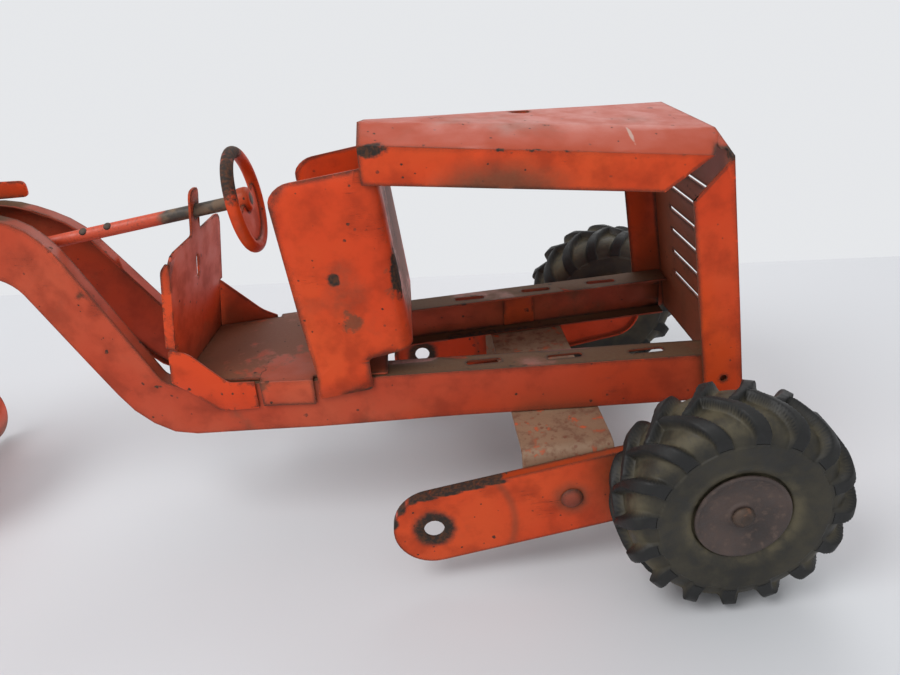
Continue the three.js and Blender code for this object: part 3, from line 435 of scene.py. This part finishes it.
# Paints of single pieces. A mark is a place and its radii along X, Y and Z; a fold is a line.
FLOOR_PAINT = enamel(
    "dirty_paint", paint=(0.480, 0.062, 0.022), grime=0.60, worn=0.64, settle=0.05,
    brown_marks=[(within("cab_floor", 0.05, 0.55, 0.9), (42 * MM, 48 * MM, 14 * MM)),
                 (within("cab_floor", 0.45, 0.65, 0.9), (34 * MM, 30 * MM, 14 * MM))])
RAIL_PAINT = enamel("rail_paint", paint=(0.450, 0.052, 0.018), grime=0.60, worn=0.60, settle=0.36,
                    folds=[(within("side_rail_left", 0, 0.71, up), within("side_rail_left", 1, 0, up))
                           for up in (0.05, 1.0)])
SEAT_PAINT = enamel(
    "seat_paint", grime=0.34, worn=0.60,
    bare_marks=[(within("seat_shell", 0.94, 0.04, 0.55), (4 * MM, 8 * MM, 13 * MM)),
                (within("seat_shell", 0.42, 0.02, 0.55), (3 * MM, 5 * MM, 3 * MM))],
    brown_marks=[(within("seat_shell", 0.52, 0.03, 0.36), (5 * MM, 6 * MM, 6 * MM)),
                 (within("seat_shell", 0.90, 0.55, 0.55), (12 * MM, 40 * MM, 50 * MM))])
# the hood's faces turned forward carry painted shade
HOOD_PAINT = enamel(
    "hood_paint", grime=0.26, worn=0.58, front_shade=0.78,
    folds=[(within("hood_and_guard", 0.0, 0.082, 0.958), within("hood_and_guard", 0.92, 0.0, 0.843)),
           (within("hood_and_guard", 0.0, 0.264, 1.0), within("hood_and_guard", 0.92, 0.182, 0.898))],
    bare_marks=[(within("hood_and_guard", 0.03, 0.08, 0.94), (9 * MM, 5 * MM, 3 * MM)),
                (within("hood_and_guard", 0.93, 0.02, 0.87), (6 * MM, 6 * MM, 7 * MM)),
                (within("hood_and_guard", 0.10, 0.01, 0.87), (2 * MM, 5 * MM, 4 * MM))],
    soft_marks=[(within("hood_and_guard", 0.33, 0.04, 0.79), (36 * MM, 14 * MM, 16 * MM))],
    pale_marks=[(within("hood_and_guard", 0.69, 0.12, 0.93), (1.1 * MM, 8 * MM, 7 * MM)),
                (within("hood_and_guard", 0.76, 0.14, 0.94), (9 * MM, 3 * MM, 1.6 * MM))])
RIVET_PAINT = enamel("rivet_paint", paint=(0.300, 0.052, 0.026), grime=0.60, worn=0.70)

BEAM_END = 18.5 * MM             # radius of a tandem beam's round ends
WORN_STEPS = (-2 * MM, 9 * MM, 20 * MM, 31 * MM)   # marks along the upper edge, from the hole
WORN_TURNS = (115, 140, 165)                       # marks round the front end, in degrees
FAINT_ARC = 37 * MM              # radius of the brown arc about the front hole


def beam_paint(side):
    """The tandem beam's enamel: bare round its front hole and along its upper front edge."""
    node = "tandem_beam_" + side
    low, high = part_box(node)
    hole = Vector((low.x + BEAM_END, centre(node).y, low.z + BEAM_END))
    rivet = centre("tandem_rivet_" + side)
    along = (rivet - hole).normalized()
    across = Vector((-along.z, 0, along.x))
    upper_edge = hole + across * (BEAM_END - 0.4 * MM)
    worn_rim = [(upper_edge + along * step, (9 * MM, 9 * MM, 1.7 * MM), 0.5) for step in WORN_STEPS]
    for turn in WORN_TURNS:
        out = Vector((math.cos(math.radians(turn)), 0, math.sin(math.radians(turn))))
        worn_rim.append((hole + out * (BEAM_END + 1.5 * MM), (4 * MM, 9 * MM, 4 * MM), 0.4))
    return enamel(node + "_paint", worn=0.60, grime=0.30, arcs=[(hole, FAINT_ARC, 3 * MM)],
                  bare_marks=[*worn_rim, (hole, (11 * MM, 9 * MM, 11 * MM), 0.25)],
                  soft_marks=[(rivet, (11 * MM, 9 * MM, 11 * MM))])


# ---------- mesh building blocks ----------

SAME_PLACE = 0.004 * MM          # vertices closer than this are one
SEAM = 0.4 * MM                  # largest gap between a rail and its arch
FLAT = math.radians(0.6)         # faces that meet at less than this are one
WAVE_CUT = 9 * MM                # spacing of the cuts that let a sheet wave

def new_piece(name, mesh, node, material=None):
    """A visible piece that stands for a CAD node, rides on its body and takes its slot's finish."""
    piece = bpy.data.objects.new(name, mesh)
    bpy.context.scene.collection.objects.link(piece)
    mesh.materials.clear()
    mesh.materials.append(material or MATERIALS[SLOT_OF[node]])
    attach(piece, BODY_OF[node])
    return piece


def smooth_all(mesh):
    mesh.polygons.foreach_set("use_smooth", [True] * len(mesh.polygons))


def shade(mesh, angle=38):
    smooth_all(mesh)
    mesh.set_sharp_from_angle(angle=math.radians(angle))


def face_width(face, edge):
    return face.calc_area() / max(edge.calc_length(), 1e-9)


def is_bend(edge):
    """A fold of the sheet has a wide face on both sides; the sheet's rim has a narrow one."""
    return min(face_width(face, edge) for face in edge.link_faces) > 2.2 * SHEET


def sharp_edges(body, above=40):
    limit = math.radians(above)
    return [e for e in body.edges if e.is_manifold and e.calc_face_angle(0) > limit]


def round_off(body, edges, width, segments):
    if edges:
        bmesh.ops.bevel(body, geom=edges, offset=width, segments=segments, profile=0.5,
                        affect="EDGES", clamp_overlap=True)


def slice_evenly(body, step):
    """Cuts long faces across, so that the sheet can be given its slight waves."""
    low = Vector(min(v.co[i] for v in body.verts) for i in range(3))
    high = Vector(max(v.co[i] for v in body.verts) for i in range(3))
    for axis in range(3):
        across = Vector(1.0 if i == axis else 0.0 for i in range(3))
        for k in range(1, int((high[axis] - low[axis]) / step)):
            at = across * (low[axis] + k * step)
            bmesh.ops.bisect_plane(body, geom=body.verts[:] + body.edges[:] + body.faces[:],
                                   dist=1e-7, plane_co=at, plane_no=across)


def welded(body, reach):
    """Closes the seam between two bodies that meet end to end, less than reach apart."""
    body.verts.ensure_lookup_table()
    part = {}
    for seed in body.verts:
        if seed not in part:
            label, queue = len(part), [seed]
            part[seed] = label
            while queue:
                for edge in queue.pop().link_edges:
                    for v in edge.verts:
                        if v not in part:
                            part[v] = label
                            queue.append(v)
    first = [v for v in body.verts if part[v] == 0]
    second = [v for v in body.verts if part[v] != 0]
    seam = {v for v in first if any((v.co - w.co).length < reach for w in second)}
    seam |= {w for w in second if any((v.co - w.co).length < reach for v in first)}
    caps = [f for f in body.faces if all(v in seam for v in f.verts)]
    bmesh.ops.delete(body, geom=caps, context="FACES_ONLY")
    # The weld depends on the order of its vertices, and a set's own order differs from run to run.
    ordered = sorted((v for v in body.verts if v in seam), key=lambda v: tuple(v.co))
    bmesh.ops.remove_doubles(body, verts=ordered, dist=reach)


def refined(nodes, bend=0.9 * MM, rim=0.2 * MM, wave=0.0, material=None):
    """The nodes' sheet with rounded folds, softened rims and slight waves.

    Two nodes are welded into one piece.
    """
    nodes = [nodes] if isinstance(nodes, str) else nodes
    mesh = frame["nodes"][nodes[0]].data.copy()
    body = bmesh.new()
    for node in nodes:
        body.from_mesh(frame["nodes"][node].data)
    bmesh.ops.remove_doubles(body, verts=body.verts, dist=SAME_PLACE)
    if len(nodes) > 1:
        welded(body, SEAM)
    bmesh.ops.dissolve_limit(body, angle_limit=FLAT, verts=body.verts, edges=body.edges)
    if bend:
        folds = [e for e in sharp_edges(body, 20) if is_bend(e)]
        outer = [e for e in folds if e.is_convex]
        inner = [e for e in folds if not e.is_convex]
        round_off(body, outer, bend + SHEET, 4)
        inner = [e for e in inner if e.is_valid]
        round_off(body, inner, bend, 3)
    round_off(body, sharp_edges(body), rim, 2)
    if wave:
        slice_evenly(body, WAVE_CUT)
        body.normal_update()
        for v in body.verts:
            v.co += v.normal * wave * noise.noise(v.co * 22) * 0.5
            v.co += Vector((0, 1, 0)) * wave * noise.noise(v.co * 15 + Vector((7, 3, 1)))
    body.to_mesh(mesh)
    body.free()
    shade(mesh)
    piece = new_piece(nodes[0] + "_sheet", mesh, nodes[0], material)
    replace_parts(piece, *nodes)


def ring_faces(sides, count):
    """Quads between copies of a closed profile of count points, each copy joined to the next."""
    faces = []
    for k in range(sides):
        here, there = k * count, ((k + 1) % sides) * count
        for i in range(count):
            j = (i + 1) % count
            faces.append((here + i, here + j, there + j, there + i))
    return faces


def lathe(profile, sides, middle=Vector((0, 0, 0))):
    """Vertices and faces of a closed [radius, along] profile turned about a line along Y."""
    verts = []
    for k in range(sides):
        angle = 2 * math.pi * k / sides
        across, up = math.cos(angle), math.sin(angle)
        verts += [middle + Vector((r * across, along, r * up)) for r, along in profile]
    return verts, ring_faces(sides, len(profile))


def joined(*shapes):
    """Several pairs of vertices and faces as one pair."""
    verts, faces = [], []
    for more, more_faces in shapes:
        faces += [tuple(i + len(verts) for i in face) for face in more_faces]
        verts += more
    return verts, faces


def mesh_from(name, verts, faces):
    mesh = bpy.data.meshes.new(name)
    mesh.from_pydata([tuple(v) for v in verts], [], faces)
    body = bmesh.new()
    body.from_mesh(mesh)
    bmesh.ops.remove_doubles(body, verts=body.verts, dist=0.002 * MM)
    bmesh.ops.recalc_face_normals(body, faces=body.faces)
    body.to_mesh(mesh)
    body.free()
    return mesh


def arc_smooth(profile, steps=5):
    """A closed profile as a fine polyline; a third value rounds a corner off over that reach."""
    smooth = []
    count = len(profile)
    for i, (r, a, *reach) in enumerate(profile):
        here = Vector((r, a))
        if not reach:
            smooth.append((r, a))
            continue
        before = Vector(profile[(i - 1) % count][:2])
        after = Vector(profile[(i + 1) % count][:2])
        start = here + (before - here).normalized() * reach[0]
        end = here + (after - here).normalized() * reach[0]
        for k in range(steps + 1):
            u = k / steps
            point = start * (1 - u) ** 2 + here * 2 * u * (1 - u) + end * u * u
            smooth.append((point.x, point.y))
    return smooth


# ---------- wheels ----------

LUGS = 16                        # on each half of the tread
LUG_HEIGHT = 4.4 * MM
LUG_HALF_WIDTH = 2.6 * MM        # at the middle of the tread
LUG_WIDENING = 1.0 * MM          # added to it towards the outer end
TYRE_SIDES = 512
TYRE_STEP = 0.75 * MM            # spacing of the points across the tyre
# Half of the tyre's casing without lugs, in mm: radius, distance from the middle plane and
# the reach over which the corner is rounded.
CASING = [(45.6, 0.0), (45.6, 8.5, 2.6), (43.2, 13.2, 2.4), (38.6, 15.7, 1.6), (36.3, 16.1, 0.3),
          (35.6, 16.95, 0.5), (31.5, 16.6, 2), (24.5, 15.2, 1.5), (21.2, 13.9, 0.6), (20.8, 12.6, 0.4),
          (17.2, 12.4)]


def casing_line(step):
    """Evenly spaced points along half of the casing, with their run from the tread's middle."""
    coarse = [Vector(p) * MM for p in arc_smooth(CASING)]
    points, run = [(coarse[0], 0.0)], 0.0
    for a, b in zip(coarse, coarse[1:]):
        length = (b - a).length
        parts = max(1, round(length / step))
        for k in range(1, parts + 1):
            run += length / parts
            points.append((a.lerp(b, k / parts), run))
    return points


def ramp(value, low, high):
    u = min(1.0, max(0.0, (value - low) / (high - low)))
    return u * u * (3 - 2 * u)


SWEEP = 15 * MM                  # how far a lug trails between the middle and its outer end
SWEEP_RUN = 17 * MM              # the run outward over which it does
CROSSING = 3.2 * MM              # how far lugs reach past the middle, between the other half's


def lug(angle, run, start):
    """Height of one half's lugs; run is the distance outward from the middle, negative past it."""
    u = run / SWEEP_RUN
    sweep = SWEEP * (1.35 * u if u < 0 else 1 - (1 - min(u, 1.0)) ** 1.35)
    pitch = 2 * math.pi / LUGS
    offset = (angle + sweep / TYRE_RADIUS - start + pitch / 2) % pitch - pitch / 2
    across = abs(offset) * (TYRE_RADIUS - 0.25 * max(run, 0))
    half = LUG_HALF_WIDTH + LUG_WIDENING * ramp(run, 1 * MM, 13 * MM)
    begin = ramp(run, -CROSSING - 0.6 * MM, -CROSSING + 0.5 * MM)
    thin = 1 - 0.45 * ramp(run, 12 * MM, 19 * MM)
    fade = 1 - ramp(run, 20.5 * MM, 22.2 * MM)
    return LUG_HEIGHT * ramp(half - across, -0.9 * MM, 0.8 * MM) * begin * thin * fade


def lug_height(angle, run, side):
    """How far the rubber stands above the casing at this place on the tread."""
    left = lug(angle, run if side < 0 else -run, 0.0)
    right = lug(angle, run if side > 0 else -run, math.pi / LUGS)
    return max(left, right)


def tyre(wheel):
    """Casing and lugs as one skin; "hollow" is how much dust each point has caught."""
    node = wheel + "_tyre"
    middle = WHEELS[wheel]
    outward = -1 if wheel.endswith("left") else 1
    half = casing_line(TYRE_STEP)
    line = [(p, run, -1) for p, run in reversed(half)] + [(p, run, 1) for p, run in half[1:]]
    flat = [Vector((p.x, p.y * side)) for p, _, side in line]
    verts, hollow = [], []
    for k in range(TYRE_SIDES):
        angle = 2 * math.pi * k / TYRE_SIDES
        spin = angle * -outward
        for i, (p, run, side) in enumerate(line):
            along = (flat[min(i + 1, len(line) - 1)] - flat[max(i - 1, 0)]).normalized()
            lift = lug_height(angle, run, side)
            out = Vector((along.y, -along.x)) * lift
            radius = min(p.x + out.x, TYRE_RADIUS)
            width = max(-TYRE_HALF_WIDTH, min(TYRE_HALF_WIDTH, p.y * side + out.y))
            place = Vector((radius * math.cos(spin), width * outward, radius * math.sin(spin)))
            verts.append(middle + place)
            wall = ramp(run, 12 * MM, 20 * MM) * (1 - ramp(run, 30 * MM, 36 * MM))
            hollow.append(max(0.0, 1 - lift / (0.5 * LUG_HEIGHT)) * (0.95 - 0.62 * wall))
    faces = [(a, d, c, b) for a, b, c, d in ring_faces(TYRE_SIDES, len(line))]
    mesh = bpy.data.meshes.new(node + "_tread")
    mesh.from_pydata([tuple(v) for v in verts], [], faces)
    mesh.attributes.new("hollow", "FLOAT", "POINT").data.foreach_set("value", hollow)
    mesh.update()
    body = bmesh.new()
    body.from_mesh(mesh)
    if body.calc_volume(signed=True) < 0:
        bmesh.ops.reverse_faces(body, faces=body.faces)
    body.to_mesh(mesh)
    body.free()
    smooth_all(mesh)
    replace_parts(new_piece(node + "_tread", mesh, node), node)


# Outer half of a rim's section, in mm: radius, distance from the middle plane, corner reach.
HUB_DISC = [(2.75, 14.0), (5.6, 14.0, 0.6), (6.6, 13.2, 0.5), (9.0, 13.1, 0.8), (14.5, 13.4, 2),
            (18.2, 14.6, 0.8), (19.3, 15.35, 0.5), (20.3, 15.1, 0.4), (20.4, 14.2, 0.3),
            (18.6, 13.3, 0.6), (16.3, 12.6, 0.8)]


def rim(wheel):
    """Two pressed discs on a drum, each with a ring round the boss, a dish and a rolled edge."""
    node = wheel + "_rim"
    outer = [(r * MM, a * MM, *[c * MM for c in corner]) for r, a, *corner in HUB_DISC]
    inner = [(r, -a, *corner) for r, a, *corner in reversed(outer)]
    verts, faces = lathe(arc_smooth(outer + inner), 96, WHEELS[wheel])
    mesh = mesh_from(node + "_pressing", verts, faces)
    shade(mesh, 50)
    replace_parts(new_piece(node + "_pressing", mesh, node), node)


ON_AXIS = 0.01 * MM              # a profile's ends stay just off its own axis
AXLE_ROD = 2.4 * MM              # radii of a rear axle's rod and of its collars
AXLE_COLLAR = 4.3 * MM


def axle_end(wheel):
    """A rear axle: two collars on a rod, and a domed, hammered end in the wheel's middle."""
    node = wheel.replace("rear", "rear_axle")
    low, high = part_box(node)
    outward = -1 if wheel.endswith("left") else 1
    tip = abs(low.y if outward < 0 else high.y)
    foot = abs(high.y if outward < 0 else low.y)
    face = tip - 2.8 * MM
    profile = [(ON_AXIS, foot), (AXLE_COLLAR, foot, 0.4 * MM),
               (AXLE_COLLAR, foot + 2.4 * MM, 0.2 * MM), (AXLE_ROD, foot + 2.6 * MM),
               (AXLE_ROD, foot + 4.8 * MM), (AXLE_COLLAR, foot + 5.0 * MM, 0.2 * MM),
               (AXLE_COLLAR, face - 29.1 * MM, 0.3 * MM), (AXLE_ROD, face - 28.9 * MM),
               (AXLE_ROD, face), (4.7 * MM, face + 0.05 * MM, 0.2 * MM),
               (4.8 * MM, face + 0.9 * MM, 0.4 * MM), (3.9 * MM, tip - 0.7 * MM, 0.5 * MM),
               (2.6 * MM, tip - 0.1 * MM, 0.3 * MM), (1.5 * MM, tip - 0.7 * MM, 0.4 * MM),
               (ON_AXIS, tip - 0.8 * MM)]
    spot = Vector((centre(node).x, 0, centre(node).z))
    verts, faces = lathe([(r, a * outward) for r, a in arc_smooth(profile, 3)], 48, spot)
    mesh = mesh_from(node + "_turned", verts, faces)
    shade(mesh, 40)
    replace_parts(new_piece(node + "_turned", mesh, node), node)


# ---------- steering ----------

TUBE = 3.0 * MM                  # radius of the steering wheel's rim
TUBE_SIDES = 20
HUB_RADIUS = 6.2 * MM
WEB_HALF = 0.7 * MM              # half the thickness of the plate in its lower half
WEB_STEPS = 40


def turned_to(axis, middle, verts):
    """Points made about a line along Y, set to turn about the axis through the middle."""
    turn = Vector((0, 1, 0)).rotation_difference(axis)
    return [middle + turn @ v for v in verts]


def steering_axis():
    joint = next(j for j in BEHAVIOUR["joints"] if j["name"] == "steering_turn")
    return Vector(joint["axis"]).normalized(), Vector(joint["pos_m"])


def half_web(inner, outer):
    """A flat plate square to Y that fills the lower half of a ring, between two radii."""
    verts = []
    for face in (-WEB_HALF, WEB_HALF):
        for k in range(WEB_STEPS + 1):
            angle = math.pi + math.pi * k / WEB_STEPS
            for radius in (inner, outer):
                verts.append(Vector((radius * math.cos(angle), face, radius * math.sin(angle))))
    layer = 2 * (WEB_STEPS + 1)
    faces = []
    for a in range(0, 2 * WEB_STEPS, 2):
        b = a + 2
        faces += [(a, a + 1, b + 1, b), (a + layer, b + layer, b + layer + 1, a + layer + 1),
                  (a + 1, a + layer + 1, b + layer + 1, b + 1), (a, b, b + layer, a + layer)]
    faces += [(a, a + layer, a + layer + 1, a + 1) for a in (0, 2 * WEB_STEPS)]
    return verts, faces


def steering_ring():
    """The steering wheel: a thick rim, a hub, and a flat web that fills its lower half."""
    node = "steering_wheel"
    axis, _ = steering_axis()
    middle = centre(node)
    low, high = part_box(node)
    major = (high.y - low.y) / 2 - TUBE
    turns = [2 * math.pi * k / TUBE_SIDES for k in range(TUBE_SIDES)]
    tube = [(major + TUBE * math.cos(turn), TUBE * math.sin(turn)) for turn in turns]
    hub = arc_smooth([(2.5 * MM, -3.0 * MM), (6.0 * MM, -3.0 * MM, 0.8 * MM),
                      (HUB_RADIUS, -1.0 * MM, 0.5 * MM), (HUB_RADIUS, 1.0 * MM, 0.5 * MM),
                      (5.4 * MM, 3.0 * MM, 1.0 * MM), (2.5 * MM, 3.0 * MM)], 4)
    web = half_web(HUB_RADIUS - 0.4 * MM, major - 0.8 * TUBE)
    verts, faces = joined(lathe(tube, 112), lathe(hub, 48), web)
    uneven = [v + Vector((v.x, 0, v.z)) * 0.012 * noise.noise(v * 60) for v in verts]
    mesh = mesh_from(node + "_cast", turned_to(axis, middle, uneven), faces)
    shade(mesh, 45)
    dark = [(middle + Vector((0, -0.1, 1)).normalized() * major, (9 * MM, 12 * MM, 8 * MM)),
            (middle + Vector((0, -0.75, 0.65)).normalized() * major, (8 * MM, 11 * MM, 13 * MM))]
    paint = enamel(node + "_paint", worn=0.62, bare_marks=dark)
    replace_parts(new_piece(node + "_cast", mesh, node, paint), node)


def shaft_screw(name, before_end):
    """A small screw head on the upper left of the steering shaft."""
    axis, through = steering_axis()
    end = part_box("steering_shaft")[1].x
    spot = through + axis * ((end - before_end - through.x) / axis.x)
    up = (Vector((-axis.z, 0, axis.x)) + Vector((0, -0.8, 0))).normalized()
    head = arc_smooth([(ON_AXIS, 2.4 * MM), (1.9 * MM, 2.4 * MM), (1.9 * MM, 3.4 * MM, 0.3 * MM),
                       (1.2 * MM, 3.9 * MM, 0.5 * MM), (ON_AXIS, 4.0 * MM)], 4)
    verts, faces = lathe(head, 24)
    mesh = mesh_from(name, turned_to(up, spot, verts), faces)
    shade(mesh, 45)
    new_piece(name, mesh, "steering_shaft", MATERIALS["rusty_steel"])


steering_ring()
shaft_screw("shaft_screw_front", 82 * MM)
shaft_screw("shaft_screw_rear", 70 * MM)

for wheel_name in WHEELS:
    tyre(wheel_name)
    rim(wheel_name)
for wheel_name in ("rear_left", "rear_right"):
    axle_end(wheel_name)


# ---------- sheet metal ----------

for side in ("left", "right"):
    refined(["side_rail_" + side, "arch_beam_" + side], wave=0.22 * MM, material=RAIL_PAINT)
    refined("tandem_beam_" + side, bend=0.7 * MM, wave=0.12 * MM, material=beam_paint(side))
    refined(side + "_gusset", bend=0.0)
    refined("tandem_rivet_" + side, bend=0.0, rim=0.25 * MM, material=RIVET_PAINT)
    refined("hanger_tab_" + side, bend=0.0)
refined("hood_and_guard", bend=1.3 * MM, wave=0.30 * MM, material=HOOD_PAINT)
refined("seat_shell", wave=0.30 * MM, material=SEAT_PAINT)
refined("dash_panel", wave=0.20 * MM)
refined("cab_floor", wave=0.15 * MM, material=FLOOR_PAINT)
refined("seat_pan", material=FLOOR_PAINT)
refined("tandem_hanger", bend=1.5 * MM, wave=0.15 * MM)

# Every node that has no piece of its own yet gets a plain one.
SHAFT_FINISH = shaft_finish()
done = {name for piece in bpy.context.scene.objects for name in piece.get("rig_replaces", [])}
for node in frame["nodes"]:
    if node not in done:
        refined(node, bend=0.0, rim=0.25 * MM,
                material=SHAFT_FINISH if node == "steering_shaft" else None)


# ---------- stage ----------

FLOOR_Z = -0.5 * MM              # just under the tyres
FLOOR_CORNERS = [(-3.0, -3.0), (3.5, -3.0), (3.5, -0.165), (-3.0, 0.72)]

add_camera()
add_world()
add_area_light("key", (-0.5, -0.5, 1.1), size=0.7, power=8.5)
add_area_light("back", (0.5, 0.9, 0.9), size=0.9, power=4)

floor_mesh = mesh_from("floor", [(x, y, FLOOR_Z) for x, y in FLOOR_CORNERS], [(0, 1, 2, 3)])
floor = bpy.data.objects.new("floor", floor_mesh)
floor_mesh.materials.append(floor_finish())
bpy.context.scene.collection.objects.link(floor)
